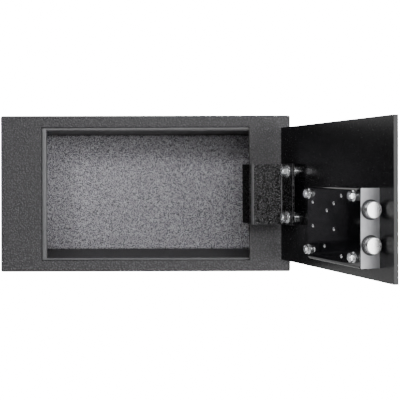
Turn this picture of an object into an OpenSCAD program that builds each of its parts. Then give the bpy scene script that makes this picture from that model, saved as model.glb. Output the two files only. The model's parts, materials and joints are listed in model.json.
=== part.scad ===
// Flanged wall safe with a flush steel door, a gooseneck hinge arm and a two-bolt electronic lock.
// The safe's own frame: origin on the back panel's outer face at mid-height of the flange,
// X to the right, Y into the wall, Z up. The door stands open by open_angle.
// Door parts are drawn closed, in the door's frame: origin on the hinge edge of the outer face,
// X away from the free edge, Y into the safe, Z up. on_door() swings them to the open angle.

/* [Safe] */
// Overall depth, from the flange's front to the back panel's outer face
depth = 160; // [150:1:200]
// Width of the front flange
flange_w = 434; // [430:1:470]
// Height of the front flange
flange_h = 234; // [230:1:260]
// Thickness of the flange and of the door plate
plate_t = 6.4; // [5:0.1:6.4]
// Width of the door opening
opening_w = 312; // [310:1:314]
// Height of the door opening
opening_h = 200; // [198:1:202]
// Corner radius of the flange
flange_r = 3; // [1:0.5:8]
// Outside width of the body shell
body_w = 400; // [398:1:402]
// Outside height of the body shell
body_h = 196; // [194:1:196]
// How far the body's centre lies below the flange's centre
body_drop = 1.2; // [0:0.1:1.5]
// Thickness of the body's sheet steel
sheet_t = 2; // [1.5:0.1:2]
// Thickness of the felt on the back panel
carpet_t = 4; // [2:0.5:6]

/* [Stop frame] */
// Lip that the door's free side closes behind
lip_side = 6.5; // [4:0.5:7]
// Lip above the door opening
lip_top = 3.4; // [2:0.1:4]
// Lip below the door opening
lip_bottom = 2.9; // [2:0.1:4]
// Width of the groove between the flange and each lip
groove_w = 1.8; // [0.5:0.1:1.9]
// How far the strike behind the free-side lip stands back into the safe
strike_depth = 10; // [4:1:14]

/* [Fixing holes] */
// Radius of the holes in the side walls
fixing_r = 4; // [3:0.5:5]
// Distance between the holes from front to back
fixing_y = 80; // [60:1:80]
// Distance between the holes in height
fixing_z = 120; // [110:1:130]

/* [Door] */
// Angle that the door stands open
open_angle = 107; // [0:1:110]
// Width of the door plate
door_w = 307; // [306:0.5:307]
// Height of the door plate
door_h = 196; // [194:1:196]
// Gap beside the door at its hinge edge
hinge_gap = 3.3; // [3.3:0.1:3.8]
// Gap between the closed door and the stop frame
seat_gap = 0.3; // [0.1:0.1:0.5]

/* [Hinge] */
// Distance of the pivot beyond the opening's edge
pivot_out = 28; // [28:0.5:29]
// Distance of the pivot behind the flange's front
pivot_in = 15.4; // [15.4:0.1:16]
// Radius of the hinge pin
pin_r = 3; // [2.5:0.1:3]
// Height of the hinge arm
arm_h = 87; // [86:1:90]
// Thickness of the hinge arm's steel
arm_t = 3; // [2.5:0.1:3]
// Distance between the two hinge studs
stud_spacing = 66; // [56:1:66]
// Radius of the hinge studs; the nuts, washers and spacers follow it
stud_r = 4; // [3:0.5:4]

/* [Lock] */
// Radius of the locking bolts
bolt_r = 10; // [9:0.5:10]
// How far the bolts travel
bolt_throw = 28; // [20:1:28]
// Gap around parts that slide or turn in a hole
run_gap = 0.06; // [0.02:0.01:0.1]
// Height of the lock box
lock_h = 95; // [95:1:100]
// Depth of the lock box on the door
lock_d = 26.5; // [26.5:0.5:28]

/* [Keypad] */
// How far the keypad housing stands off the door
housing_d = 22; // [22:0.5:26]
// Distance between key centres
key_pitch = 16; // [15:0.5:17]
// How far a key travels
key_travel = 1; // [0.5:0.1:1]

/* [Hidden] */
$fn = 48;

// Safe body
front_y = -depth;
right_edge = opening_w / 2;
stop_w = body_w + 4;
stop_h = opening_h + 12;
stop_y = front_y + plate_t;
shell_y = stop_y + sheet_t;
shell_len = depth - plate_t - 2 * sheet_t;
inner_w = body_w - 2 * sheet_t;
inner_h = body_h - 2 * sheet_t;
fixing_mid_y = -75;
groove_depth = 1.4;
strike_t = 1.5;

// Door
door_t = plate_t - seat_gap;

// Hinge. The pivot in the safe's frame, and in the door's frame
pivot = [right_edge + pivot_out, front_y + pivot_in, 0];
door_pivot = [hinge_gap + pivot_out, pivot_in, 0];
knuckle_r = 6;
bush_r = 4;
bush_len = 15;
lug_t = 5;
lug_gap = 0.5;
lug_z = arm_h / 2 + lug_gap;
clip_t = 1.2;
clip_r = 5.5;
pin_proud = 1.5;
spacer_h = 8;
foot_y = door_t + spacer_h;
foot_end_x = -62;
stud_x = -46;
washer_t = 1.2;
washer_r = 2.25 * stud_r;
nut_flat = 3.25 * stud_r;
nut_flange_r = 2.24 * stud_r;
nut_h = 2 * stud_r;
nut_seat_y = foot_y + arm_t + washer_t;
stud_proud = 1.5;
arm_x = -28;
arm_depth = door_t + 61.3;
arm_bend_r = 4;
// Middle of the arm's sheet, from the foot's free end round to the knuckle
arm_path = [
    [foot_end_x, foot_y + arm_t / 2],
    [arm_x + arm_t / 2, foot_y + arm_t / 2],
    [arm_x + arm_t / 2, arm_depth - arm_t / 2],
    [door_pivot.x + 6.5, arm_depth - 16],
    [door_pivot.x + knuckle_r - arm_t / 2, door_pivot.y]
];

// Lock box
box_near_x = -138;
box_far_x = -276;
box_top = 13;
box_bottom = box_top - lock_h;
box_t = 1.5;
base_y = door_t + box_t;
cover_y = door_t + lock_d;
bolt_y = base_y + bolt_r + 0.9;
bolt_z = [-12.5, -54.5];
bolt_end_x = box_far_x - 10;
bolt_len = 60;
bolt_back_x = bolt_end_x + bolt_len;
guide_r = bolt_r + 0.7;
guide_flange_r = bolt_r + 2.1;
guide_len = 11;
carrier_screw_r = 2.5;
carrier_flange_t = 3;
cover_stud_r = 3;
cover_stud_proud = 7.5;
cover_nut_flat = 10;
cover_nut_flange_r = 6.6;
cover_nut_h = 6;
rivet_r = 1.2;
cover_stud_at = [for (x = [-145, -262], z = [3.5, -69.5]) [x, z]];
cover_rivet_at = [
    [-232, 3], [-156, -7], [-213, -7], [-194.5, -16.5],
    [-156, -38], [-213, -39], [-188, -62], [-232, -71]
];

// Knob, spindle and cam. The crank pin moves the carrier sideways by bolt_throw in a quarter turn
knob_x = -205;
knob_z = -50;
crank_r = bolt_throw / sqrt(2);
crank_pin_r = 3;
spindle_r = 4;
knob_bore_depth = 15;
bush_outer_r = 6;
cam_y = base_y + 1;
cam_t = 2.4;
cam_arm_w = 9;
carrier_t = 2.5;
carrier_y = base_y + 4.2;
carrier_end_x = knob_x + crank_r * sin(45) + 7.5;
carrier_plate_z = [-42, -22.5];
carrier_flange_z = [-67, 0];
slot_w = 2 * crank_pin_r + 1.6;

// Solenoid
coil_x = -207;
coil_y = base_y + 9.8;
coil_z = [-14, 10];
coil_frame_x = 18;
coil_frame_t = 1.5;
plunger_r = 3;
plunger_tip_z = carrier_plate_z[1] + 0.4;
plunger_top_z = -2;
collar_z = plunger_tip_z + 2.2;
collar_t = 1;

// Keypad housing on the door's outer face
housing_x = [-236, -74];
housing_z = [-84, 12];
housing_r = 8;
wall_t = 2;
face_t = 2.5;
face_y = -housing_d;
face_in_y = face_y + face_t;
key_mid = [-150, -36];
key_size = [12, 5.5, 11];
key_gap = 0.3;
key_proud = 1.5;
key_y = face_y - key_proud;
board_y = key_y + key_size.y + key_travel + 0.5;
board_z = [-76, 9];
board_w = 50;
board_t = 1.5;
led_r = 1.75;
led_pitch = 10;
led_z = 5;
led_at = [for (i = [-1:1]) [key_mid.x + led_pitch * i, led_z]];
battery_r = 5.25;
battery_len = 44.5;
battery_pitch = 11;
battery_mid = [-99.5, -36];
battery_y = face_in_y + battery_r + 1.2;
bay_bottom = -64;
cover_slide_w = 43;
cover_slide_top = -2;
cover_slide_t = 1.2;
override_x = -205;
override_z = -10;
cylinder_r = 8;
plug_r = 5.5;
housing_screw_at = [for (x = [-180, -230], z = [6.5, -77]) [x, z]];
wire_x = -186;
wire_z = -4;
wire_r = 1.4;
grommet_r = 4;
screw_r = 2;
screw_depth = 10;

// ---- Shared shapes ----

// Moves parts drawn on the closed door to where the open door carries them
module on_door() {
    translate(pivot) rotate([0, 0, open_angle]) translate(-door_pivot) children();
}

// A cylinder along Y from y0 to y1
module rod_y(x, z, y0, y1, r, fn = 48) {
    translate([x, y0, z]) rotate([-90, 0, 0]) cylinder(h = y1 - y0, r = r, $fn = fn);
}

// A cone or tapered disc along Y from y0 to y1
module cone_y(x, z, y0, y1, r0, r1) {
    translate([x, y0, z]) rotate([-90, 0, 0]) cylinder(h = y1 - y0, r1 = r0, r2 = r1);
}

// A cylinder along X from x0 to x1
module rod_x(x0, x1, y, z, r) {
    translate([x0, y, z]) rotate([0, 90, 0]) cylinder(h = x1 - x0, r = r);
}

// A box between two corners
module block(low, high) {
    translate(low) cube(high - low);
}

// A plate with round corners in X and Z, from y0 to y1
module round_plate(x, z, y0, y1, r) {
    for (px = [x[0] + r, x[1] - r], pz = [z[0] + r, z[1] - r]) rod_y(px, pz, y0, y1, r);
    block([x[0] + r, y0, z[0]], [x[1] - r, y1, z[1]]);
    block([x[0], y0, z[0] + r], [x[1], y1, z[1] - r]);
}

// A flanged hexagon nut on the Y axis with its seat at y0 and a flat on either side in X
module flange_nut_y(x, z, y0, flat, flange, height) {
    rim = 1;
    cone_y(x, z, y0, y0 + rim, flange, flange);
    cone_y(x, z, y0 + rim, y0 + 2 * rim, flange, flat / 2);
    translate([x, y0 + rim, z]) rotate([-90, 0, 0]) rotate([0, 0, 30])
        cylinder(h = height - rim, r = flat / sqrt(3), $fn = 6);
}

// The points of a path with each inner corner rounded by an arc of radius r
function unit(v) = v / norm(v);
function left_of(v) = [-v.y, v.x];
function corner_arc(a, b, c, r, steps = 6) =
    let (u = unit(a - b), w = unit(c - b))
    let (half = acos(u * w) / 2, mid = b + unit(u + w) * r / sin(half))
    let (p = b + u * r / tan(half), q = b + w * r / tan(half))
    [for (i = [0:steps]) mid + r * unit((p - mid) * (1 - i / steps) + (q - mid) * i / steps)];
function rounded_path(path, r) = [
    path[0],
    for (i = [1:len(path) - 2]) each corner_arc(path[i - 1], path[i], path[i + 1], r),
    path[len(path) - 1]
];
function direction_at(path, i) =
    let (last = len(path) - 1)
    i == 0 ? unit(path[1] - path[0])
    : i == last ? unit(path[last] - path[last - 1])
    : unit(unit(path[i + 1] - path[i]) + unit(path[i] - path[i - 1]));
function beside(path, side) =
    [for (i = [0:len(path) - 1]) path[i] + side * left_of(direction_at(path, i))];
function reversed(path) = [for (i = [1:len(path)]) path[len(path) - i]];

// A bent strip of sheet, seen from above
module bent_strip(path, t) {
    polygon(concat(beside(path, t / 2), reversed(beside(path, -t / 2))));
}

// A coil spring along Z, as one swept wire
module coil_spring(r, wire, turns, length, sides = 6, per_turn = 14) {
    rings = turns * per_turn;
    points = [
        for (i = [0:rings], k = [0:sides - 1])
            let (turn = 360 * i / per_turn, around = 360 * k / sides)
            let (out = r + wire * cos(around))
            [out * cos(turn), out * sin(turn), length * i / rings + wire * sin(around)]
    ];
    skin = [
        for (i = [0:rings - 1], k = [0:sides - 1])
            let (next = (k + 1) % sides)
            [i * sides + k, i * sides + next, (i + 1) * sides + next, (i + 1) * sides + k]
    ];
    polyhedron(points, concat(
        [[for (k = [0:sides - 1]) sides - 1 - k]], skin,
        [[for (k = [0:sides - 1]) rings * sides + k]]
    ));
}

// ---- Safe body ----

module front_flange() {
    color("#3b3b3d") difference() {
        round_plate([-flange_w / 2, flange_w / 2], [-flange_h / 2, flange_h / 2],
                    front_y, stop_y, flange_r);
        block([-right_edge, front_y - 1, -opening_h / 2], [right_edge, stop_y + 1, opening_h / 2]);
    }
}

// The door's stop: a plate behind the flange with a grooved lip on three sides of the opening,
// and a strike behind the free-side lip, notched where the bolts pass
module stop_frame() {
    strike_x = lip_side - right_edge;
    notch_r = front_y + bolt_y - shell_y;
    color("#5a5a5c") difference() {
        union() {
            block([-stop_w / 2, stop_y, -stop_h / 2], [stop_w / 2, shell_y, stop_h / 2]);
            block([strike_x - strike_t, stop_y, -inner_h / 2 - body_drop],
                  [strike_x, shell_y + strike_depth, inner_h / 2 - body_drop]);
        }
        block([strike_x, stop_y - 1, -opening_h / 2 + lip_bottom],
              [right_edge, shell_y + 1, opening_h / 2 - lip_top]);
        difference() {
            block([-right_edge, stop_y - 1, -opening_h / 2],
                  [right_edge, stop_y + groove_depth, opening_h / 2]);
            block([groove_w - right_edge, stop_y - 2, groove_w - opening_h / 2],
                  [right_edge + 1, shell_y, opening_h / 2 - groove_w]);
        }
        for (z = bolt_z)
            rod_x(strike_x - strike_t - 1, strike_x + 1, front_y + bolt_y, z, notch_r);
    }
}

module body_shell() {
    color("#2c2c2e") difference() {
        block([-body_w / 2, shell_y, -body_h / 2 - body_drop],
              [body_w / 2, shell_y + shell_len, body_h / 2 - body_drop]);
        block([-inner_w / 2, shell_y - 1, -inner_h / 2 - body_drop],
              [inner_w / 2, shell_y + shell_len + 1, inner_h / 2 - body_drop]);
        for (y = [-1, 1] * fixing_y / 2, z = [-1, 1] * fixing_z / 2)
            rod_x(-body_w, body_w, fixing_mid_y + y, z, fixing_r);
    }
}

module back_panel() {
    color("#2c2c2e") block([-body_w / 2, -sheet_t, -body_h / 2 - body_drop],
                           [body_w / 2, 0, body_h / 2 - body_drop]);
}

module back_carpet() {
    edge = 0.5;
    color("#8a8a8a")
        block([edge - inner_w / 2, -sheet_t - carpet_t, edge - inner_h / 2 - body_drop],
              [inner_w / 2 - edge, -sheet_t, inner_h / 2 - body_drop - edge]);
}

// A lug behind the stop frame that holds one end of the hinge pin
module hinge_lug(z) {
    lug_r = pivot.y - shell_y;
    color("#2c2c2e") difference() {
        union() {
            translate([pivot.x, pivot.y, z]) cylinder(h = lug_t, r = lug_r);
            block([pivot.x - lug_r, shell_y, z], [pivot.x + lug_r, pivot.y, z + lug_t]);
        }
        translate([pivot.x, pivot.y, z - 1]) cylinder(h = lug_t + 2, r = pin_r);
    }
}

module hinge_lug_upper() { hinge_lug(lug_z); }

module hinge_lug_lower() { hinge_lug(-lug_z - lug_t); }

module hinge_pin() {
    half = lug_z + lug_t + clip_t + pin_proud;
    color("silver") translate([pivot.x, pivot.y, -half]) cylinder(h = 2 * half, r = pin_r);
}

module hinge_pin_clips() {
    color("gray") for (z = [lug_z + lug_t, -lug_z - lug_t - clip_t])
        translate([pivot.x, pivot.y, z]) difference() {
            cylinder(h = clip_t, r = clip_r);
            translate([0, 0, -1]) cylinder(h = clip_t + 2, r = pin_r);
        }
}

// ---- Door and hinge ----

module door_plate() {
    color("#1c1c1e") on_door() difference() {
        block([-door_w, 0, -door_h / 2], [0, door_t, door_h / 2]);
        rod_y(knob_x, knob_z, -1, door_t + 1, bush_outer_r);
        rod_y(override_x, override_z, -1, door_t + 1, cylinder_r);
        rod_y(wire_x, wire_z, -1, door_t + 1, grommet_r);
        for (p = housing_screw_at) rod_y(p.x, p.y, -1, door_t + 1, screw_r);
    }
}

module hinge_arm() {
    foot_hole_r = stud_r + 0.2;
    color("#333336") on_door() difference() {
        union() {
            translate([0, 0, -arm_h / 2]) linear_extrude(arm_h)
                bent_strip(rounded_path(arm_path, arm_bend_r), arm_t);
            translate([door_pivot.x, door_pivot.y, -arm_h / 2]) cylinder(h = arm_h, r = knuckle_r);
        }
        translate([door_pivot.x, door_pivot.y, -arm_h]) cylinder(h = 2 * arm_h, r = bush_r);
        for (z = [-1, 1] * stud_spacing / 2)
            rod_y(stud_x, z, foot_y - 1, foot_y + arm_t + 1, foot_hole_r);
    }
}

module hinge_bushes() {
    color("peru") on_door() for (z = [-arm_h / 2, arm_h / 2 - bush_len])
        translate([door_pivot.x, door_pivot.y, z]) difference() {
            cylinder(h = bush_len, r = bush_r);
            translate([0, 0, -1]) cylinder(h = bush_len + 2, r = pin_r + run_gap);
        }
}

module hinge_studs() {
    chamfer = 0.8;
    end_y = nut_seat_y + nut_h + stud_proud;
    color("silver") on_door() for (z = [-1, 1] * stud_spacing / 2) {
        rod_y(stud_x, z, door_t, end_y - chamfer, stud_r);
        cone_y(stud_x, z, end_y - chamfer, end_y, stud_r, stud_r - chamfer);
    }
}

module hinge_spacers() {
    wall = 3;
    color("silver") on_door() for (z = [-1, 1] * stud_spacing / 2) difference() {
        rod_y(stud_x, z, door_t, foot_y, stud_r + wall);
        rod_y(stud_x, z, door_t - 1, foot_y + 1, stud_r);
    }
}

module hinge_washers() {
    color("lightgray") on_door() for (z = [-1, 1] * stud_spacing / 2) difference() {
        rod_y(stud_x, z, nut_seat_y - washer_t, nut_seat_y, washer_r);
        rod_y(stud_x, z, foot_y, nut_seat_y + 1, stud_r);
    }
}

module hinge_nuts() {
    color("silver") on_door() for (z = [-1, 1] * stud_spacing / 2) difference() {
        flange_nut_y(stud_x, z, nut_seat_y, nut_flat, nut_flange_r, nut_h);
        rod_y(stud_x, z, nut_seat_y - 1, nut_seat_y + nut_h + 1, stud_r);
    }
}

// ---- Lock box ----

module lock_chassis() {
    wall_x = box_far_x + box_t;
    color("darkgray") on_door() difference() {
        union() {
            block([box_far_x, door_t, box_bottom + box_t], [box_near_x - box_t, base_y, box_top - box_t]);
            block([box_far_x, door_t, box_bottom], [wall_x, cover_y - box_t, box_top]);
        }
        for (z = bolt_z) rod_x(box_far_x - 1, wall_x + 1, bolt_y, z, guide_r);
        rod_y(knob_x, knob_z, door_t - 1, base_y + 1, bush_outer_r);
        rod_y(wire_x, wire_z, door_t - 1, base_y + 1, grommet_r);
        rod_y(override_x, override_z, door_t - 1, base_y + 1, cylinder_r);
        for (p = housing_screw_at) rod_y(p.x, p.y, door_t - 1, base_y + 1, screw_r);
        for (p = cover_stud_at) rod_y(p.x, p.y, door_t - 1, base_y + 1, cover_stud_r);
    }
}

module lock_cover() {
    color("#111113") on_door() difference() {
        block([box_far_x, door_t, box_bottom], [box_near_x, cover_y, box_top]);
        block([box_far_x - 1, door_t - 1, box_bottom + box_t],
              [box_near_x - box_t, cover_y - box_t, box_top - box_t]);
        block([box_far_x - 1, door_t - 1, box_bottom - 1],
              [box_far_x + box_t, cover_y - box_t, box_top + 1]);
        for (p = cover_stud_at) rod_y(p.x, p.y, door_t, cover_y + 1, cover_stud_r);
        for (p = cover_rivet_at) rod_y(p.x, p.y, door_t, cover_y + 1, rivet_r);
    }
}

module cover_studs() {
    color("silver") on_door() for (p = cover_stud_at)
        rod_y(p.x, p.y, door_t, cover_y + cover_stud_proud, cover_stud_r);
}

module cover_nuts() {
    color("silver") on_door() for (p = cover_stud_at) difference() {
        flange_nut_y(p.x, p.y, cover_y, cover_nut_flat, cover_nut_flange_r, cover_nut_h);
        rod_y(p.x, p.y, cover_y - 1, cover_y + cover_nut_h + 1, cover_stud_r);
    }
}

module cover_rivets() {
    head_r = 2.3;
    head_h = 1.2;
    color("silver") on_door() for (p = cover_rivet_at) {
        rod_y(p.x, p.y, cover_y - box_t - 1, cover_y, rivet_r);
        cone_y(p.x, p.y, cover_y, cover_y + head_h, head_r, head_r * 0.6);
    }
}

module bolt_guides() {
    flange_t = 1;
    color("#151515") on_door() for (z = bolt_z) difference() {
        union() {
            rod_x(box_far_x, box_far_x + guide_len, bolt_y, z, guide_r);
            rod_x(box_far_x - flange_t, box_far_x, bolt_y, z, guide_flange_r);
        }
        rod_x(box_far_x - 2, box_far_x + guide_len + 1, bolt_y, z, bolt_r + run_gap);
    }
}

module solenoid_frame() {
    half = [coil_frame_x / 2, 7.5];
    inside = half.x - coil_frame_t;
    color("lightgray") on_door() difference() {
        block([coil_x - half.x, coil_y - half.y, coil_z[0]], [coil_x + half.x, coil_y + half.y, coil_z[1]]);
        block([coil_x - inside, coil_y - half.y - 1, coil_z[0] + coil_frame_t],
              [coil_x + inside, coil_y + half.y + 1, coil_z[1] - coil_frame_t]);
        translate([coil_x, coil_y, coil_z[0] - 1])
            cylinder(h = coil_frame_t + 2, r = plunger_r + run_gap);
    }
}

module solenoid_coil() {
    coil_r = 7.2;
    closed_end = 2.5;
    color("#7a4a20") on_door() difference() {
        translate([coil_x, coil_y, coil_z[0] + coil_frame_t])
            cylinder(h = coil_z[1] - coil_z[0] - 2 * coil_frame_t, r = coil_r);
        translate([coil_x, coil_y, coil_z[0]])
            cylinder(h = coil_z[1] - coil_z[0] - coil_frame_t - closed_end, r = plunger_r + run_gap);
    }
}

// ---- Keypad housing and what it holds ----

// The housing's outside: a plate with round corners and a chamfered front edge
module housing_outside() {
    chamfer = 2;
    hull() {
        round_plate(housing_x, housing_z, face_y + chamfer, 0, housing_r, $fn = 32);
        round_plate(housing_x + [chamfer, -chamfer], housing_z + [chamfer, -chamfer],
                    face_y, 0, housing_r - chamfer, $fn = 32);
    }
}

function key_at(column, row) =
    [key_mid.x - (column - 1) * key_pitch, key_mid.y + (1.5 - row) * key_pitch * 0.95];

module keypad_housing() {
    boss_wall = 1.6;
    ledge = 3;
    slide_x = [battery_mid.x - cover_slide_w / 2, battery_mid.x + cover_slide_w / 2];
    color("#1a1a1c") on_door() difference() {
        union() {
            difference() {
                housing_outside();
                round_plate(housing_x + [wall_t, -wall_t], housing_z + [wall_t, -wall_t],
                            face_in_y, 1, housing_r - wall_t);
            }
            for (p = housing_screw_at) rod_y(p.x, p.y, face_in_y, 0, screw_r + boss_wall);
            rod_y(knob_x, knob_z, face_in_y, 0, bush_outer_r + boss_wall);
            rod_y(override_x, override_z, face_in_y, 0, cylinder_r + boss_wall);
        }
        for (p = housing_screw_at) rod_y(p.x, p.y, -screw_depth, 1, screw_r);
        rod_y(knob_x, knob_z, face_y - 1, 1, bush_outer_r);
        rod_y(override_x, override_z, face_y - 1, 1, cylinder_r);
        for (p = led_at) rod_y(p.x, p.y, face_y - 1, face_in_y + 1, led_r + 0.05);
        for (column = [0:2], row = [0:3])
            let (p = key_at(column, row))
            block([p.x - key_size.x / 2 - key_gap, face_y - 1, p.y - key_size.z / 2 - key_gap],
                  [p.x + key_size.x / 2 + key_gap, face_in_y + 0.01, p.y + key_size.z / 2 + key_gap]);
        block([slide_x[0], face_y - 1, housing_z[0] - 1],
              [slide_x[1], face_y + cover_slide_t + 0.1, cover_slide_top]);
        block([slide_x[0] + ledge, face_y - 1, bay_bottom],
              [slide_x[1] - ledge, face_in_y + 1, cover_slide_top - ledge - 1]);
    }
}

module keypad_circuit_board() {
    dome_h = 0.3;
    dome_r = 3;
    hole_r = 1.5;
    holes = [[key_mid.x - 18, board_z[1] - 2.5], [key_mid.x + 18, board_z[0] + 3]];
    color("darkgreen") on_door() difference() {
        union() {
            block([key_mid.x - board_w / 2, board_y, board_z[0]],
                  [key_mid.x + board_w / 2, board_y + board_t, board_z[1]]);
            for (column = [0:2], row = [0:3])
                let (p = key_at(column, row))
                rod_y(p.x, p.y, board_y - dome_h, board_y, dome_r);
        }
        for (p = holes) rod_y(p.x, p.y, board_y - 1, board_y + board_t + 1, hole_r);
    }
}

// Four cells side by side, each the other way up from its neighbour
module batteries() {
    terminal_r = 1.9;
    terminal_h = 1;
    gap = 0.5;
    color("goldenrod") on_door() for (i = [-1.5:1.5]) {
        x = battery_mid.x + i * battery_pitch;
        up = i == -1.5 || i == 0.5;
        translate([x, battery_y, battery_mid.y]) {
            translate([0, 0, gap - battery_len / 2])
                cylinder(h = battery_len - gap - terminal_h, r = battery_r);
            translate([0, 0, up ? battery_len / 2 - terminal_h : 0.2 - battery_len / 2 - gap])
                cylinder(h = terminal_h, r = terminal_r);
        }
    }
}

module battery_contacts() {
    plate = [9, 8, 0.6];
    plate_z = battery_len / 2 + 3.2;
    boss_h = 2.3;
    boss_r = 3.2;
    color("silver") on_door() for (side = [-1, 1], i = [-1.5:1.5]) {
        x = battery_mid.x + i * battery_pitch;
        translate([x, battery_y, battery_mid.y + side * plate_z]) cube(plate, center = true);
        translate([x, battery_y, battery_mid.y + side * (plate_z - 1.4)])
            cylinder(h = boss_h, r = boss_r, center = true);
    }
}

module led_lenses() {
    color("red") on_door() for (p = led_at) {
        rod_y(p.x, p.y, face_y, board_y, led_r);
        translate([p.x, face_y, p.y]) sphere(r = led_r);
    }
}

module lead_wire() {
    turn_y = -11;
    inside_y = base_y + 5.8;
    start_x = key_mid.x - 22;
    color("red") on_door() {
        rod_y(start_x, wire_z, board_y + board_t, turn_y, wire_r);
        translate([start_x, turn_y, wire_z]) sphere(r = wire_r);
        rod_x(wire_x, start_x, turn_y, wire_z, wire_r);
        translate([wire_x, turn_y, wire_z]) sphere(r = wire_r);
        rod_y(wire_x, wire_z, turn_y, inside_y, wire_r);
        translate([wire_x, inside_y, wire_z]) sphere(r = wire_r);
        rod_x(coil_x + coil_frame_x / 2, wire_x, inside_y, wire_z, wire_r);
    }
}

module wire_grommet() {
    lip_t = 1;
    lip_r = grommet_r + 1.2;
    color("black") on_door() difference() {
        union() {
            rod_y(wire_x, wire_z, 0, base_y, grommet_r);
            rod_y(wire_x, wire_z, -lip_t, 0, lip_r);
            rod_y(wire_x, wire_z, base_y, base_y + lip_t, lip_r);
        }
        rod_y(wire_x, wire_z, -lip_t - 1, base_y + lip_t + 1, wire_r);
    }
}

module housing_screws() {
    head_r = 3.5;
    head_h = 2.2;
    socket_r = 1.2;
    color("silver") on_door() for (p = housing_screw_at) difference() {
        union() {
            rod_y(p.x, p.y, -screw_depth, base_y, screw_r);
            cone_y(p.x, p.y, base_y, base_y + head_h, head_r, head_r - 0.9);
        }
        rod_y(p.x, p.y, base_y + 1, base_y + head_h + 1, socket_r, fn = 6);
    }
}

module lock_cylinder() {
    color("goldenrod") on_door() difference() {
        rod_y(override_x, override_z, face_y + 4, base_y, cylinder_r);
        rod_y(override_x, override_z, face_y, base_y + 1, plug_r + run_gap);
    }
}

module knob_bush() {
    color("goldenrod") on_door() difference() {
        rod_y(knob_x, knob_z, face_y, base_y, bush_outer_r);
        rod_y(knob_x, knob_z, face_y - 1, base_y + 1, spindle_r + run_gap);
    }
}

// ---- Bolt work ----

module locking_bolt(z) {
    chamfer = 0.6;
    thread_depth = 14;
    color("gainsboro") on_door() difference() {
        union() {
            rod_x(bolt_end_x + chamfer, bolt_back_x, bolt_y, z, bolt_r);
            translate([bolt_end_x, bolt_y, z]) rotate([0, 90, 0])
                cylinder(h = chamfer, r1 = bolt_r - chamfer, r2 = bolt_r);
        }
        rod_x(bolt_back_x - thread_depth, bolt_back_x + 1, bolt_y, z, carrier_screw_r);
    }
}

module bolt_upper() { locking_bolt(bolt_z[0]); }

module bolt_lower() { locking_bolt(bolt_z[1]); }

module bolt_carrier() {
    pin_x = knob_x + crank_r * sin(45);
    slot_z = [knob_z + crank_r * cos(45) - 3.5, knob_z + crank_r + 3.6];
    color("lightgray") on_door() difference() {
        union() {
            block([bolt_back_x, base_y + 1.4, carrier_flange_z[0]],
                  [bolt_back_x + carrier_flange_t, cover_y - box_t - 4, carrier_flange_z[1]]);
            block([bolt_back_x, carrier_y, carrier_plate_z[0]],
                  [carrier_end_x, carrier_y + carrier_t, carrier_plate_z[1]]);
            block([bolt_back_x, carrier_y, carrier_plate_z[1] - 2.5],
                  [carrier_end_x, coil_y + plunger_r + 1, carrier_plate_z[1]]);
        }
        block([pin_x - slot_w / 2, carrier_y - 1, slot_z[0]],
              [pin_x + slot_w / 2, carrier_y + carrier_t + 1, slot_z[1]]);
        for (z = bolt_z)
            rod_x(bolt_back_x - 1, bolt_back_x + carrier_flange_t + 1, bolt_y, z, carrier_screw_r);
    }
}

module carrier_screws() {
    head_x = bolt_back_x + carrier_flange_t;
    head_h = 3.2;
    head_r = 4.3;
    socket_r = 2.3;
    shank = 13;
    color("silver") on_door() for (z = bolt_z) {
        rod_x(bolt_back_x - shank, head_x, bolt_y, z, carrier_screw_r);
        difference() {
            rod_x(head_x, head_x + head_h, bolt_y, z, head_r);
            translate([head_x + 1.2, bolt_y, z]) rotate([0, 90, 0])
                cylinder(h = head_h, r = socket_r, $fn = 6);
        }
    }
}

// A round base with a bar across it, a hub in the middle and a pointer groove
module knob() {
    base_r = 18;
    rim_y = face_y - 0.5;
    shoulder_y = rim_y - 4;
    top_y = rim_y - 6;
    grip = [10, 14, 37];
    grip_y = top_y - grip.y;
    groove_half = 0.8;
    color("#26262a") on_door() difference() {
        union() {
            rod_y(knob_x, knob_z, shoulder_y, rim_y, base_r);
            cone_y(knob_x, knob_z, top_y, shoulder_y, base_r - 3, base_r);
            rod_y(knob_x, knob_z, grip_y, shoulder_y, grip.x);
            intersection() {
                block([knob_x - grip.z / 2, grip_y, knob_z - grip.x / 2],
                      [knob_x + grip.z / 2, shoulder_y, knob_z + grip.x / 2]);
                cone_y(knob_x, knob_z, grip_y, shoulder_y, base_r - 4, base_r);
            }
        }
        rod_y(knob_x, knob_z, rim_y - knob_bore_depth, rim_y + 1, spindle_r);
        block([knob_x + 12, grip_y - 1, knob_z - groove_half],
              [knob_x + 20, grip_y + 3, knob_z + groove_half]);
    }
}

module knob_spindle() {
    color("silver") on_door()
        rod_y(knob_x, knob_z, face_y - knob_bore_depth, cam_y + cam_t, spindle_r);
}

module bolt_cam() {
    hub_r = 8;
    end_r = 5;
    pin = [knob_x + crank_r * sin(45), knob_z + crank_r * cos(45)];
    color("silver") on_door() difference() {
        union() {
            rod_y(knob_x, knob_z, cam_y, cam_y + cam_t, hub_r);
            rod_y(pin.x, pin.y, cam_y, cam_y + cam_t, end_r);
            translate([knob_x, cam_y, knob_z]) rotate([0, -45, 0])
                translate([0, 0, -cam_arm_w / 2]) cube([crank_r, cam_t, cam_arm_w]);
            rod_y(pin.x, pin.y, cam_y + cam_t, carrier_y + carrier_t + 1, crank_pin_r);
        }
        rod_y(knob_x, knob_z, cam_y - 1, cam_y + cam_t + 1, spindle_r);
    }
}

module solenoid_plunger() {
    color("gray") on_door() translate([coil_x, coil_y, 0]) {
        translate([0, 0, plunger_tip_z]) cylinder(h = plunger_top_z - plunger_tip_z, r = plunger_r);
        translate([0, 0, collar_z]) cylinder(h = collar_t, r = plunger_r + 2);
    }
}

module plunger_spring() {
    wire = 0.3;
    turns = 3;
    low = collar_z + collar_t + wire;
    high = coil_z[0] - wire;
    color("silver") on_door() translate([coil_x, coil_y, low])
        coil_spring(plunger_r + 1, wire, turns, high - low);
}

// ---- Keys and covers ----

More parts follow.
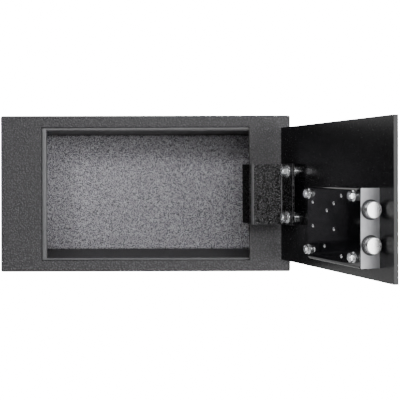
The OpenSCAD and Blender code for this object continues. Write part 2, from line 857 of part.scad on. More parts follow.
module key(column, row) {
    p = key_at(column, row);
    half = [key_size.x / 2, key_size.z / 2];
    step = 0.6;
    lip = 0.8;
    lip_y = face_in_y + 0.1;
    color("#dcdcdc") on_door() {
        block([p.x - half.x, key_y + step, p.y - half.y], [p.x + half.x, key_y + key_size.y, p.y + half.y]);
        block([p.x - half.x + step, key_y, p.y - half.y + step],
              [p.x + half.x - step, key_y + step, p.y + half.y - step]);
        block([p.x - half.x - lip, lip_y, p.y - half.y - lip],
              [p.x + half.x + lip, lip_y + 1, p.y + half.y + lip]);
    }
}

module key_1() { key(0, 0); }

module key_2() { key(1, 0); }

module key_3() { key(2, 0); }

module key_4() { key(0, 1); }

module key_5() { key(1, 1); }

module key_6() { key(2, 1); }

module key_7() { key(0, 2); }

module key_8() { key(1, 2); }

module key_9() { key(2, 2); }

module key_star() { key(0, 3); }

module key_0() { key(1, 3); }

module key_hash() { key(2, 3); }

module battery_cover() {
    gap = 0.3;
    half = cover_slide_w / 2 - gap;
    rib = [20, 0.6, 1.2];
    rib_pitch = 3;
    grip_z = -70;
    color("#1a1a1c") on_door() {
        block([battery_mid.x - half, face_y, housing_z[0]],
              [battery_mid.x + half, face_y + cover_slide_t, cover_slide_top - gap]);
        for (i = [0:4])
            translate([battery_mid.x - rib.x / 2, face_y - rib.y, grip_z + rib_pitch * i]) cube(rib);
    }
}

// The plug that the key turns: a keyway in front and a driving tongue behind
module key_plug() {
    tongue = [5, 1.3, 8];
    keyway = [1.6, 16, 7.2];
    end_y = base_y + 0.3;
    color("gold") on_door() difference() {
        union() {
            rod_y(override_x, override_z, face_y + 3.2, end_y, plug_r);
            translate([override_x - tongue.x / 2, end_y, override_z - tongue.z / 2]) cube(tongue);
        }
        translate([override_x - keyway.x / 2, face_y, override_z - keyway.z / 2]) cube(keyway);
    }
}

// A round cap over the key plug, pushed into the housing's bore
module plug_cover() {
    cap_h = 1.9;
    gap = 0.1;
    insert_depth = 2.6;
    cap_y = face_y - gap;
    color("#1a1a1c") on_door() {
        rod_y(override_x, override_z, cap_y, face_y + insert_depth, cylinder_r - 0.3);
        cone_y(override_x, override_z, cap_y - cap_h, cap_y, cylinder_r + 0.5, cylinder_r + 2);
    }
}

front_flange();
stop_frame();
body_shell();
back_panel();
back_carpet();
hinge_lug_upper();
hinge_lug_lower();
hinge_pin();
hinge_pin_clips();
door_plate();
hinge_arm();
hinge_bushes();
hinge_studs();
hinge_spacers();
hinge_washers();
hinge_nuts();
lock_chassis();
lock_cover();
cover_studs();
cover_nuts();
cover_rivets();
bolt_guides();
solenoid_frame();
solenoid_coil();
keypad_housing();
keypad_circuit_board();
batteries();
battery_contacts();
led_lenses();
lead_wire();
wire_grommet();
housing_screws();
lock_cylinder();
knob_bush();
bolt_upper();
bolt_lower();
bolt_carrier();
carrier_screws();
knob();
knob_spindle();
bolt_cam();
solenoid_plunger();
plunger_spring();
key_1();
key_2();
key_3();
key_4();
key_5();
key_6();
key_7();
key_8();
key_9();
key_star();
key_0();
key_hash();
battery_cover();
key_plug();
plug_cover();
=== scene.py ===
"""A flush wall safe with its door swung open, in soft studio light over a plain pale floor."""

import json
import math
import random

import bmesh
import bpy
from mathutils import Matrix, Vector, noise


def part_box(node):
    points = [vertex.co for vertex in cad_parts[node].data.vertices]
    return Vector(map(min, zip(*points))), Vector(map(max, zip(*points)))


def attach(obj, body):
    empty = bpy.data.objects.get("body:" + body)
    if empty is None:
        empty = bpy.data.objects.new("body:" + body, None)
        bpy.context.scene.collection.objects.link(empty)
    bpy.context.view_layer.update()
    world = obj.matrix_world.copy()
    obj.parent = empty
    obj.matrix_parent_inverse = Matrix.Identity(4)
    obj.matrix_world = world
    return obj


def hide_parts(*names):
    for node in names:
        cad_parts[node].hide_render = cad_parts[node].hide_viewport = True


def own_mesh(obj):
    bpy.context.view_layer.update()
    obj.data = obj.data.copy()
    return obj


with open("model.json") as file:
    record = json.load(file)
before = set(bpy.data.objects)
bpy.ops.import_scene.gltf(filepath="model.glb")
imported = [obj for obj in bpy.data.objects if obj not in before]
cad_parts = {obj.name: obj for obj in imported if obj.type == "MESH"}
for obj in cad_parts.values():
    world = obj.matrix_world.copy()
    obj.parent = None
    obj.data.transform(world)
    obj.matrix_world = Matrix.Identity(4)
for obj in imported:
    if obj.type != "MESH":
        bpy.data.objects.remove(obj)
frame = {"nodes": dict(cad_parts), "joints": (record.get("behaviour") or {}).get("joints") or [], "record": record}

MM = 0.001
NODES = frame["nodes"]
RECORD = frame["record"]
BODIES = RECORD["behaviour"]["bodies"]
BODY_OF = {node: body for body, members in BODIES.items() for node in members}
SLOT_OF = {part["node"]: part["material_slot"] for part in RECORD["subparts"]}
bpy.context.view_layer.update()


# ---- Places worked out from the frame ----

FLANGE_LOW, FLANGE_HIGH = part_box("front_flange")
CARPET_LOW, CARPET_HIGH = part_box("back_carpet")
JOINTS = {joint["name"]: joint for joint in frame["joints"]}
ALONG_DOOR = Vector(JOINTS["bolt_slide"]["axis"])
OUT_OF_DOOR = Vector(JOINTS["knob_turn"]["axis"])
UP = Vector((0, 0, 1))


# ---- Node helpers ----

class Shader:
    """A material's node tree, with short ways to add and join nodes."""

    def __init__(self, name, colour, roughness, metallic=0.0):
        self.material = bpy.data.materials.new(name)
        self.material.use_nodes = True
        self.tree = self.material.node_tree
        self.main = self.tree.nodes["Principled BSDF"]
        self.main.inputs["Base Color"].default_value = (*colour, 1)
        self.main.inputs["Roughness"].default_value = roughness
        self.main.inputs["Metallic"].default_value = metallic
        self.place = self.tree.nodes.new("ShaderNodeTexCoord").outputs["Object"]

    def add(self, kind, links=(), **settings):
        """A new node, with each socket in links joined to a source or set to a value."""
        node = self.tree.nodes.new(kind)
        for key, value in settings.items():
            setattr(node, key, value)
        for socket, source in links:
            if hasattr(source, "is_output"):
                self.tree.links.new(source, node.inputs[socket])
            else:
                node.inputs[socket].default_value = source
        return node

    def join(self, source, socket):
        """Joins a source to one of the shader's own sockets."""
        self.tree.links.new(source, self.main.inputs[socket])

    def noise(self, grain, detail=3.0, rough=0.55, stretch=(1, 1, 1)):
        """Noise whose features are about `grain` metres across."""
        spread = self.add("ShaderNodeMapping", [("Vector", self.place), ("Scale", stretch)])
        return self.add("ShaderNodeTexNoise", [
            ("Vector", spread.outputs["Vector"]), ("Scale", 1 / grain),
            ("Detail", detail), ("Roughness", rough),
        ]).outputs["Fac"]

    def ramp(self, factor, stops):
        """Colours or greys along a factor, as (position, (r, g, b)) pairs."""
        ramp = self.add("ShaderNodeValToRGB", [("Fac", factor)])
        elements = ramp.color_ramp.elements
        while len(elements) < len(stops):
            elements.new(0.5)
        for element, (position, colour) in zip(elements, stops):
            element.position = position
            element.color = (*colour, 1)
        return ramp.outputs["Color"]

    def span(self, factor, low, high, start=0.3, end=0.7):
        """A factor stretched from start..end to low..high."""
        return self.add("ShaderNodeMapRange", [
            ("Value", factor), ("From Min", start), ("From Max", end),
            ("To Min", low), ("To Max", high),
        ]).outputs["Result"]

    def math(self, operation, a, b):
        return self.add("ShaderNodeMath", [(0, a), (1, b)], operation=operation).outputs["Value"]

    def bump(self, *layers):
        """Stacks (height, depth in metres) layers into the shader's normal."""
        normal = None
        for height, depth in layers:
            links = [("Height", height), ("Distance", depth), ("Strength", 1.0)]
            if normal:
                links.append(("Normal", normal))
            normal = self.add("ShaderNodeBump", links).outputs["Normal"]
        self.join(normal, "Normal")
        return self


def shade(colour, factor):
    """A colour made darker or lighter."""
    return tuple(min(1.0, channel * factor) for channel in colour)


# ---- Materials, one function for each kind of surface ----

def powder_coat(name, colour, roughness, grain, depth, speckle=0.12, shine=0.5):
    """Baked powder paint: orange peel of the given grain, faint blotches and fine speckle.

    speckle is how far the colour varies, and shine is how strongly the paint mirrors."""
    s = Shader(name, colour, roughness)
    blotch_width, fine_share = 60 * MM, 0.35
    blotch, peel = s.noise(blotch_width, 2), s.noise(grain, 2)
    fine = s.noise(grain * fine_share, 2)
    mixed = s.math("ADD", s.math("MULTIPLY", blotch, 0.35), s.math("MULTIPLY", peel, 0.65))
    s.join(s.ramp(mixed, [
        (0.3, shade(colour, 1 - speckle)), (0.5, colour), (0.72, shade(colour, 1 + 2 * speckle)),
    ]), "Base Color")
    s.join(s.span(peel, roughness * 0.85, roughness * 1.15), "Roughness")
    s.main.inputs["Specular IOR Level"].default_value = shine
    return s.bump((peel, depth), (fine, depth * 0.3)).material


def wrinkle_coat(name, colour, roughness, grain, depth, highlight_and_shade_gain):
    """Wrinkle paint: packed pebbles of the grain's width, their tops lightened as painted highlight and their
    valleys darkened as painted shade.

    A slow noise pushes the pebbles out of round, and the paint mirrors less where it is seen
    at a slant, as a broken surface does."""
    s = Shader(name, colour, roughness)
    valley, top = 0.62, 0.15
    straight, slanted = 0.25, 0.6
    warp = s.add("ShaderNodeTexNoise", [("Vector", s.place), ("Scale", 0.6 / grain), ("Detail", 1.0)])
    offset = s.add("ShaderNodeVectorMath", [(0, warp.outputs["Color"]), (1, (grain, grain, grain))],
                   operation="MULTIPLY")
    pushed = s.add("ShaderNodeVectorMath", [(0, s.place), (1, offset.outputs["Vector"])], operation="ADD")
    pebbles = s.add("ShaderNodeTexVoronoi", [
        ("Vector", pushed.outputs["Vector"]), ("Scale", 1 / grain), ("Randomness", 0.85),
    ], feature="F1").outputs["Distance"]
    crest = s.span(pebbles, 1, 0, top, valley)
    # Base colour follows the pebbles: painted highlight on the tops, painted shade in the valleys.
    s.join(s.ramp(crest, [
        (0.0, shade(colour, 1 / highlight_and_shade_gain)), (0.5, colour), (1.0, shade(colour, highlight_and_shade_gain)),
    ]), "Base Color")
    s.join(s.span(crest, roughness * 1.25, roughness * 0.85, 0, 1), "Roughness")
    slant = s.add("ShaderNodeLayerWeight", [("Blend", 0.5)]).outputs["Facing"]
    s.join(s.span(slant, 0.5, 0.0, straight, slanted), "Specular IOR Level")
    return s.bump((crest, depth)).material


def zinc(name, colour, roughness):
    """Bright zinc plate: cloudy reflections and faint passivation tint."""
    s = Shader(name, colour, roughness, metallic=0.88)
    cloud_width, fine_width, fine_depth = 2.5 * MM, 0.5 * MM, 0.02 * MM
    cloud, fine = s.noise(cloud_width, 3), s.noise(fine_width, 2)
    warm, cool = shade(colour, 0.92), (colour[0] * 0.97, colour[1], min(1, colour[2] * 1.04))
    s.join(s.ramp(cloud, [(0.3, warm), (0.7, cool)]), "Base Color")
    s.join(s.span(cloud, roughness * 0.7, roughness * 1.4), "Roughness")
    return s.bump((fine, fine_depth)).material


def brushed(name, colour, roughness, stretch):
    """Rolled or brushed sheet: fine lines across the stretch direction."""
    s = Shader(name, colour, roughness, metallic=0.85)
    line_width, line_depth, cloud_width = 0.5 * MM, 0.02 * MM, 14 * MM
    lines = s.noise(line_width, 3, 0.6, stretch)
    cloud = s.noise(cloud_width, 2)
    both = s.math("ADD", s.math("MULTIPLY", lines, 0.5), s.math("MULTIPLY", cloud, 0.5))
    s.join(s.ramp(both, [(0.32, shade(colour, 0.78)), (0.68, shade(colour, 1.15))]), "Base Color")
    s.join(s.span(lines, roughness * 0.8, roughness * 1.25), "Roughness")
    return s.bump((lines, line_depth)).material


def chrome(name, colour, roughness):
    """Polished plate, a little cloudy where it is polished less."""
    s = Shader(name, colour, roughness, metallic=1.0)
    mark_width = 0.8 * MM
    marks = s.noise(mark_width, 3)
    s.join(s.ramp(marks, [(0.3, shade(colour, 0.95)), (0.7, colour)]), "Base Color")
    s.join(s.span(marks, roughness * 0.6, roughness * 1.6), "Roughness")
    return s.material


def felt(name, dark, light):
    """Needle-punched felt: light and dark fibres in clumps, no shine."""
    s = Shader(name, light, 1.0)
    clump_width, clump_depth = 5 * MM, 0.6 * MM
    fleck_width, fleck_depth = 1.8 * MM, 0.5 * MM
    clumps, flecks = s.noise(clump_width, 4, 0.7), s.noise(fleck_width, 2, 0.6)
    mixed = s.math("ADD", s.math("MULTIPLY", clumps, 0.3), s.math("MULTIPLY", flecks, 0.7))
    middle = tuple((a + b) / 2 for a, b in zip(dark, light))
    s.join(s.ramp(mixed, [(0.42, dark), (0.5, middle), (0.58, light)]), "Base Color")
    s.main.inputs["Sheen Weight"].default_value = 0.15
    s.main.inputs["Specular IOR Level"].default_value = 0.1
    return s.bump((flecks, fleck_depth), (clumps, clump_depth)).material


def moulded(name, colour, roughness):
    """Moulded plastic or rubber with a fine spark-eroded texture."""
    s = Shader(name, colour, roughness)
    cloud_width, grain, depth = 20 * MM, 0.6 * MM, 0.015 * MM
    cloud, fine = s.noise(cloud_width, 2), s.noise(grain, 2)
    s.join(s.ramp(cloud, [(0.3, shade(colour, 0.85)), (0.7, shade(colour, 1.15))]), "Base Color")
    s.join(s.span(fine, roughness * 0.9, roughness * 1.1), "Roughness")
    return s.bump((fine, depth)).material


def lens(name, colour):
    """A tinted LED lens, clearer in places."""
    s = Shader(name, colour, 0.08)
    cloud_width = 1.5 * MM
    s.join(s.ramp(s.noise(cloud_width, 2), [(0.3, shade(colour, 0.8)), (0.7, colour)]), "Base Color")
    s.main.inputs["Transmission Weight"].default_value = 0.5
    return s.material


MATERIALS = {
    # The last figure of each wrinkle coat is how strongly painted highlight and shade pick out its pebbles.
    "flange_paint": wrinkle_coat("flange_paint", (0.027, 0.026, 0.029), 0.42, 2.8 * MM, 0.45 * MM, 1.8),
    "stop_paint": powder_coat("stop_paint", (0.10, 0.10, 0.105), 0.4, 2.2 * MM, 0.05 * MM),
    "shell_paint": powder_coat("shell_paint", (0.03, 0.03, 0.032), 0.55, 1.6 * MM, 0.06 * MM),
    "door_paint": powder_coat("door_paint", (0.005, 0.005, 0.006), 0.24, 2.5 * MM, 0.012 * MM, 0.1, 0.3),
    "arm_paint": wrinkle_coat("arm_paint", (0.023, 0.023, 0.024), 0.2, 2.3 * MM, 0.65 * MM, 4.0),
    "cover_paint": powder_coat("cover_paint", (0.003, 0.003, 0.004), 0.07, 6 * MM, 0.006 * MM, 0.05, 0.4),
    "felt": felt("felt", (0.075, 0.07, 0.082), (0.48, 0.47, 0.505)),
    "zinc": zinc("zinc", (0.95, 0.95, 0.95), 0.2),
    "zinc_plate": brushed("zinc_plate", (0.33, 0.33, 0.345), 0.46, (1, 1, 0.12)),
    "bolt_chrome": chrome("bolt_chrome", (0.95, 0.95, 0.96), 0.24),
    "bronze": brushed("bronze", (0.55, 0.36, 0.20), 0.4, (1, 1, 0.3)),
    "brass": brushed("brass", (0.75, 0.56, 0.27), 0.28, (1, 1, 1)),
    "spring_steel": brushed("spring_steel", (0.5, 0.5, 0.5), 0.35, (1, 1, 1)),
    "black_plastic": moulded("black_plastic", (0.014, 0.014, 0.016), 0.45),
    "knob_plastic": moulded("knob_plastic", (0.02, 0.02, 0.022), 0.38),
    "key_plastic": moulded("key_plastic", (0.55, 0.55, 0.54), 0.42),
    "coil_tape": moulded("coil_tape", (0.38, 0.17, 0.05), 0.35),
    "board": moulded("board", (0.015, 0.13, 0.05), 0.3),
    "battery_sleeve": moulded("battery_sleeve", (0.05, 0.05, 0.055), 0.25),
    "red_wire": moulded("red_wire", (0.42, 0.02, 0.02), 0.35),
    "rubber": moulded("rubber", (0.02, 0.02, 0.02), 0.7),
    "led": lens("led", (0.75, 0.08, 0.05)),
}
# A lighter grey laid on the hinge arm's eased edges and bends as painted highlight.
EDGE_HIGHLIGHT_PAINT = powder_coat("painted_edge_highlight", (0.05, 0.05, 0.053), 0.35, 1.5 * MM, 0.06 * MM)
# Near-black paint laid on the stop frame's groove as painted shade, where the shadow behind the flange edge falls.
GROOVE_PAINTED_SHADE = powder_coat("groove_painted_shade", (0.004, 0.004, 0.004), 0.8, 1.6 * MM, 0.04 * MM)
LABEL_INK = moulded("label_ink", (0.03, 0.03, 0.035), 0.5)
FIBRES_LIGHT = moulded("felt_fibre_light", (0.56, 0.55, 0.59), 0.95)
FIBRES_DARK = moulded("felt_fibre_dark", (0.09, 0.085, 0.098), 0.95)


# ---- Finished pieces ----

def dress(obj, material, body):
    """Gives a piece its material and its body."""
    obj.data.materials.clear()
    obj.data.materials.append(material)
    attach(obj, body)
    return obj


def new_piece(name, mesh_maker, material, body):
    """A new smooth object built by a function that fills a bmesh."""
    mesh = bpy.data.meshes.new(name)
    work = bmesh.new()
    mesh_maker(work)
    work.to_mesh(mesh)
    work.free()
    for polygon in mesh.polygons:
        polygon.use_smooth = True
    obj = bpy.data.objects.new(name, mesh)
    bpy.context.scene.collection.objects.link(obj)
    return dress(obj, material, body)


def cleaned_mesh(node):
    """A CAD node's mesh with its flat facets joined and smooth faces, and no imported normals."""
    same_place, same_plane = 0.001 * MM, math.radians(0.5)
    work = bmesh.new()
    work.from_mesh(NODES[node].data)
    bmesh.ops.remove_doubles(work, verts=work.verts, dist=same_place)
    bmesh.ops.dissolve_limit(work, angle_limit=same_plane, verts=work.verts, edges=work.edges)
    for face in work.faces:
        face.smooth = True
    return work


def eased(node, width, fold=None, folded=None):
    """Stands in for a CAD node with every sharp edge eased to the radius of real paint or plate.

    fold is a larger radius for the edges that folded() picks out, as on bent sheet."""
    work = cleaned_mesh(node)
    if fold:
        bmesh.ops.bevel(work, geom=[edge for edge in work.edges if folded(edge)], offset=fold,
                        offset_type="OFFSET", segments=6, profile=0.5, affect="EDGES",
                        clamp_overlap=False)
        for face in work.faces:
            face.smooth = True
    mesh = bpy.data.meshes.new(f"{node}_eased")
    work.to_mesh(mesh)
    work.free()
    obj = bpy.data.objects.new(f"{node}_eased", mesh)
    bpy.context.scene.collection.objects.link(obj)
    bevel = obj.modifiers.new("ease", "BEVEL")
    bevel.width = width
    bevel.segments = 3
    bevel.limit_method = "ANGLE"
    bevel.angle_limit = math.radians(40)
    flat = obj.modifiers.new("flat_faces", "WEIGHTED_NORMAL")
    flat.mode = "FACE_AREA_WITH_ANGLE"
    flat.weight = 90
    dress(obj, MATERIALS[SLOT_OF[node]], BODY_OF[node])
    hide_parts(node)
    return obj


# How far each seen node's edges are eased
EASED = {
    "front_flange": 0.5 * MM, "stop_frame": 0.3 * MM, "door_plate": 0.5 * MM, "hinge_arm": 0.5 * MM,
    "lock_chassis": 0.25 * MM, "hinge_nuts": 0.35 * MM, "cover_nuts": 0.3 * MM,
    "hinge_washers": 0.2 * MM, "hinge_spacers": 0.3 * MM,
    "bolt_upper": 0.3 * MM, "bolt_lower": 0.3 * MM, "knob": 0.6 * MM, "battery_cover": 0.25 * MM,
    "keypad_housing": 0.4 * MM, "plug_cover": 0.3 * MM, "body_shell": 0.4 * MM,
}


COVER_FOLD = 3.6 * MM
COVER_VERTS = [vert.co for vert in NODES["lock_cover"].data.vertices]
COVER_FACE = max(co.dot(-OUT_OF_DOOR) for co in COVER_VERTS)
COVER_NEAR = min(co.dot(ALONG_DOOR) for co in COVER_VERTS)
COVER_FAR = max(co.dot(ALONG_DOOR) for co in COVER_VERTS)


def is_cover_fold(edge):
    """The lock cover's bends: long convex edges along its rim, apart from its open end."""
    slack, shortest = 0.1 * MM, 15 * MM
    ends = [vert.co for vert in edge.verts]
    on_face = all(abs(co.dot(-OUT_OF_DOOR) - COVER_FACE) < slack for co in ends)
    at_hinge_end = all(abs(co.dot(ALONG_DOOR) - COVER_NEAR) < slack for co in ends)
    at_open_end = all(abs(co.dot(ALONG_DOOR) - COVER_FAR) < slack for co in ends)
    long = edge.calc_length() > shortest
    return long and edge.is_convex and (on_face or at_hinge_end) and not at_open_end


def paint_groove_shade(frame_piece):
    """The groove around the stop frame's lip is painted near-black, as painted shade for the shadow in the gap
    behind the flange's opening edge.

    The opening's edges are the flange's own points that lie inside its outer rim."""
    rim, groove, slack = 10 * MM, 2 * MM, 1 * MM
    shallow, deep = 0.2 * MM, 1.8 * MM
    inner = [vert.co for vert in NODES["front_flange"].data.vertices
             if abs(vert.co.x) < FLANGE_HIGH.x - rim and abs(vert.co.z) < FLANGE_HIGH.z - rim]
    left, top, bottom = min(co.x for co in inner), max(co.z for co in inner), min(co.z for co in inner)
    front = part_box("stop_frame")[0].y
    # The groove's faces take the near-black paint as painted shade.
    frame_piece.data.materials.append(GROOVE_PAINTED_SHADE)
    for face in frame_piece.data.polygons:
        at = face.center
        behind = shallow < at.y - front < deep
        beside = at.x < left + groove or at.z > top - groove or at.z < bottom + groove
        inside = at.x > left - slack and bottom - slack < at.z < top + slack
        if behind and beside and inside:
            face.material_index = 1


def paint_edge_highlights(piece):
    """A lighter paint on a bent sheet's edges and round its bends, which are its narrow facets, as painted
    highlight for the light those edges catch.
    """
    largest_bend_facet = 300 * MM * MM
    # The bevel's faces and the narrow bend facets take the lighter paint as painted highlight.
    piece.data.materials.append(EDGE_HIGHLIGHT_PAINT)
    piece.modifiers["ease"].material = 1
    for face in piece.data.polygons:
        bent = 0.6 < abs(face.normal.dot(ALONG_DOOR)) < 0.97
        if bent and face.area < largest_bend_facet:
            face.material_index = 1


def key_nodes():
    """The keypad's twelve keys, without the override lock's plug."""
    return [name for name in NODES if name.startswith("key_") and name != "key_plug"]


def finish_cad_nodes():
    """Every CAD node gets its slot's material, and the seen ones get eased edges."""
    for name, obj in NODES.items():
        obj.data.materials.clear()
        obj.data.materials.append(MATERIALS[SLOT_OF[name]])
    for name, width in EASED.items():
        piece = eased(name, width)
        if name == "stop_frame":
            paint_groove_shade(piece)
        if name == "hinge_arm":
            paint_edge_highlights(piece)
    eased("lock_cover", 0.4 * MM, fold=COVER_FOLD, folded=is_cover_fold)
    for name in key_nodes():
        eased(name, 0.5 * MM)


def return_spring():
    """The plunger's spring, which on the real safe shortens against the solenoid's frame as the plunger rises;
    here it is copied into a mesh of its own on its body.
    """
    node = "plunger_spring"
    piece = new_piece("return_spring", lambda work: work.from_mesh(NODES[node].data),
                      MATERIALS[SLOT_OF[node]], BODY_OF[node])
    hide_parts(node)
    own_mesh(piece)


def carpet():
    """The felt on the back panel: an uneven sheet whose edges roll back to the panel."""
    low, high = CARPET_LOW, CARPET_HIGH
    across, up = 200, 98
    recess, loft = 0.5 * MM, 0.45 * MM
    lumps_per_metre, lump_roughness, lump_spread, lump_layers = 240, 0.6, 2.0, 3
    front, back = low.y + recess, high.y

    def fill(work):
        grid = []
        for row in range(up + 1):
            line = []
            for column in range(across + 1):
                x = low.x + (high.x - low.x) * column / across
                z = low.z + (high.z - low.z) * row / up
                edge = min(row, column, up - row, across - column)
                spot = Vector((x, 0, z)) * lumps_per_metre
                lump = noise.fractal(spot, lump_roughness, lump_spread, lump_layers)
                y = back if edge == 0 else front + loft * (0.5 - lump * 0.5)
                line.append(work.verts.new((x, min(max(y, low.y), back), z)))
            grid.append(line)
        for row in range(up):
            for column in range(across):
                work.faces.new((grid[row][column], grid[row][column + 1],
                                grid[row + 1][column + 1], grid[row + 1][column]))
        bmesh.ops.recalc_face_normals(work, faces=work.faces)

    sheet = new_piece("carpet_felt", fill, MATERIALS["felt"], "safe_body")
    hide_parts("back_carpet")
    return sheet


def carpet_fibres(name, material, seed):
    """Short loose fibres lying on the felt: narrow ribbons that curl and rise in the middle."""
    rng = random.Random(seed)
    low, high = CARPET_LOW, CARPET_HIGH
    count, steps, margin = 9000, 3, 6 * MM
    most_curl, lengths, half_widths = 1.6, (1.2, 3), (0.18, 0.32)
    ends_depth, rise = 0.45, 0.35

    def fill(work):
        for _ in range(count):
            x = rng.uniform(low.x + margin, high.x - margin)
            z = rng.uniform(low.z + margin, high.z - margin)
            heading = rng.uniform(0, 2 * math.pi)
            curl, length = rng.uniform(-most_curl, most_curl), rng.uniform(*lengths) * MM
            half = rng.uniform(*half_widths) * MM
            left, right = [], []
            for step in range(steps + 1):
                t = step / steps
                y = low.y + (ends_depth - rise * math.sin(math.pi * t)) * MM
                side = Vector((-math.sin(heading), 0, math.cos(heading))) * half
                left.append(work.verts.new(Vector((x, y, z)) + side))
                right.append(work.verts.new(Vector((x, y, z)) - side))
                x += math.cos(heading) * length / steps
                z += math.sin(heading) * length / steps
                heading += curl / steps
            for step in range(steps):
                work.faces.new((left[step], left[step + 1], right[step + 1], right[step]))

    return new_piece(name, fill, material, "safe_body")


def key_label(node, text):
    """A printed character on a key's outer face."""
    out_from_middle, height, thickness = 3.35 * MM, 8 * MM, 0.05 * MM
    low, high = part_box(node)
    face = (low + high) / 2 + OUT_OF_DOOR * out_from_middle
    curve = bpy.data.curves.new(f"{node}_label", "FONT")
    curve.body = text
    curve.size = height
    curve.extrude = thickness
    curve.align_x = "CENTER"
    curve.align_y = "CENTER"
    maker = bpy.data.objects.new("maker", curve)
    bpy.context.scene.collection.objects.link(maker)
    bpy.context.view_layer.update()
    mesh = bpy.data.meshes.new_from_object(maker.evaluated_get(bpy.context.evaluated_depsgraph_get()))
    bpy.data.objects.remove(maker)
    right = UP.cross(OUT_OF_DOOR).normalized()
    turn = Matrix((right, UP, OUT_OF_DOOR)).transposed().to_4x4()
    mesh.transform(Matrix.Translation(face) @ turn)
    obj = bpy.data.objects.new(f"{node}_label", mesh)
    bpy.context.scene.collection.objects.link(obj)
    return dress(obj, LABEL_INK, BODY_OF[node])


def labels():
    """A digit, star or hash on each key, from the end of the key's name."""
    marks = {"star": "*", "hash": "#"}
    for name in key_nodes():
        mark = name.split("_")[1]
        key_label(name, marks.get(mark, mark))


# ---- Studio ----

# How bright the white surroundings look straight from the camera
BACKDROP = 17.0
# How bright the open surroundings are in a mirror, and as light on a matt surface
MIRRORED_SKY, DIFFUSE_SKY = 0.10, 0.06
# How bright the wall behind the safe is in a mirror
MIRRORED_WALL = 1.5

# name, place, what it points at, width, watts
LIGHTS = [
    ("front", (0.35, -2.7, 0.55), (0, -0.1, 0), 1.4, 36),
    ("side", (1.62, -1.68, -0.05), (0.27, -0.42, -0.03), 1.8, 46),
    ("top", (0.1, -0.9, 1.7), (0.1, -0.2, 0), 1.2, 6),
]

# name, place, what it points at, radius, watts, cone
FILL = ("fill", (-0.6, -2.5, 0.7), (-0.14, -0.16, 0), 0.55, 380, math.radians(13))


def light_path_mix(tree, seen, unseen):
    """Joins two shaders: the first for what the camera sees directly, the second for the rest."""
    path, mix = tree.nodes.new("ShaderNodeLightPath"), tree.nodes.new("ShaderNodeMixShader")
    tree.links.new(path.outputs["Is Camera Ray"], mix.inputs["Fac"])
    tree.links.new(unseen, mix.inputs[1])
    tree.links.new(seen, mix.inputs[2])
    return mix.outputs["Shader"]


def studio():
    """White surroundings, a floor well below the safe, and large soft lights from the front."""
    world = bpy.data.worlds.new("studio")
    bpy.context.scene.world = world
    world.use_nodes = True
    tree = world.node_tree
    tree.nodes.clear()

    def background(strength):
        node = tree.nodes.new("ShaderNodeBackground")
        node.inputs["Strength"].default_value = strength
        return node.outputs["Background"]

    path, mix = tree.nodes.new("ShaderNodeLightPath"), tree.nodes.new("ShaderNodeMixShader")
    tree.links.new(path.outputs["Is Glossy Ray"], mix.inputs["Fac"])
    tree.links.new(background(DIFFUSE_SKY), mix.inputs[1])
    tree.links.new(background(MIRRORED_SKY), mix.inputs[2])
    out = tree.nodes.new("ShaderNodeOutputWorld")
    surroundings = light_path_mix(tree, background(BACKDROP), mix.outputs["Shader"])
    tree.links.new(surroundings, out.inputs["Surface"])
    floor()
    backdrop()
    for name, place, aim, size, power in LIGHTS:
        area_light(name, place, aim, size, power)
    spot_light(*FILL)


def emission(tree, strength):
    """A plain glow."""
    node = tree.nodes.new("ShaderNodeEmission")
    node.inputs["Strength"].default_value = strength
    return node.outputs["Emission"]


def staged_plane(name, size, place, turn, unseen):
    """A staged plane, white to the camera and unseen(tree)'s shader to everything else."""
    bpy.ops.mesh.primitive_plane_add(size=size, location=place, rotation=turn)
    plane = bpy.context.object
    plane.name = name
    material = bpy.data.materials.new(f"{name}_white")
    material.use_nodes = True
    tree = material.node_tree
    shader = light_path_mix(tree, emission(tree, BACKDROP), unseen(tree))
    tree.links.new(shader, tree.nodes["Material Output"].inputs["Surface"])
    plane.data.materials.append(material)


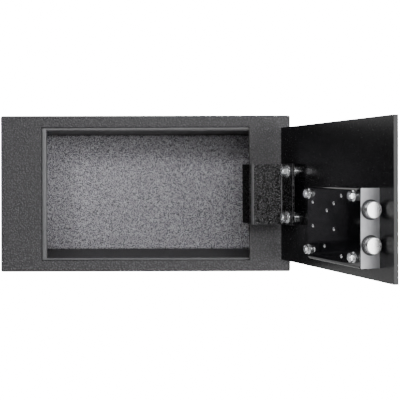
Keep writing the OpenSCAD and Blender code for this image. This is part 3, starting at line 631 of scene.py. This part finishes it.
def floor():
    """A pale floor well below the safe, which bounces a little light up."""
    size, drop, grey = 12.0, 0.6, 0.8

    def pale(tree):
        plain = tree.nodes["Principled BSDF"]
        plain.inputs["Base Color"].default_value = (grey, grey, grey, 1)
        return plain.outputs["BSDF"]

    staged_plane("floor", size, (0, 0, FLANGE_LOW.z - drop), (0, 0, 0), pale)


def backdrop():
    """A lit white wall some way behind the safe, which its black paint mirrors."""
    size, behind = 6.0, 1.6
    staged_plane("backdrop", size, (0, behind, 0), (math.pi / 2, 0, 0),
                 lambda tree: emission(tree, MIRRORED_WALL))


def place_light(name, light, place, aim, power):
    """Puts a light at a place, facing what it lights."""
    light.energy = power
    obj = bpy.data.objects.new(name, light)
    bpy.context.scene.collection.objects.link(obj)
    obj.location = place
    obj.rotation_euler = (Vector(aim) - Vector(place)).to_track_quat("-Z", "Y").to_euler()


def area_light(name, place, aim, size, power):
    """A round softbox."""
    light = bpy.data.lights.new(name, "AREA")
    light.shape = "DISK"
    light.size = size
    place_light(name, light, place, aim, power)


def spot_light(name, place, aim, radius, power, cone):
    """A wide soft lamp held to a cone, so that it lights the safe and not the door."""
    light = bpy.data.lights.new(name, "SPOT")
    light.shadow_soft_size = radius
    light.spot_size = cone
    light.spot_blend = 0.7
    place_light(name, light, place, aim, power)


def camera():
    """A level long lens, squarely in front of the flange and a little above its middle."""
    lens_mm, sensor_mm, distance = 77.85, 36, 1.2975
    shift_right, shift_up, nearest = 0.0875, -0.07, 0.05
    aside, above, roll = 29.4 * MM, 32.4 * MM, math.radians(0.14)
    data = bpy.data.cameras.new("camera")
    data.lens = lens_mm
    data.sensor_width = sensor_mm
    data.shift_x, data.shift_y = shift_right, shift_up
    data.clip_start = nearest
    obj = bpy.data.objects.new("camera", data)
    bpy.context.scene.collection.objects.link(obj)
    obj.location = (aside, FLANGE_LOW.y - distance, above)
    obj.rotation_euler = (math.pi / 2, roll, 0)
    bpy.context.scene.camera = obj


camera()
studio()
finish_cad_nodes()
return_spring()
labels()
felt_sheet = carpet()
fibres = [carpet_fibres("light_fibres", FIBRES_LIGHT, 7), carpet_fibres("dark_fibres", FIBRES_DARK, 8)]
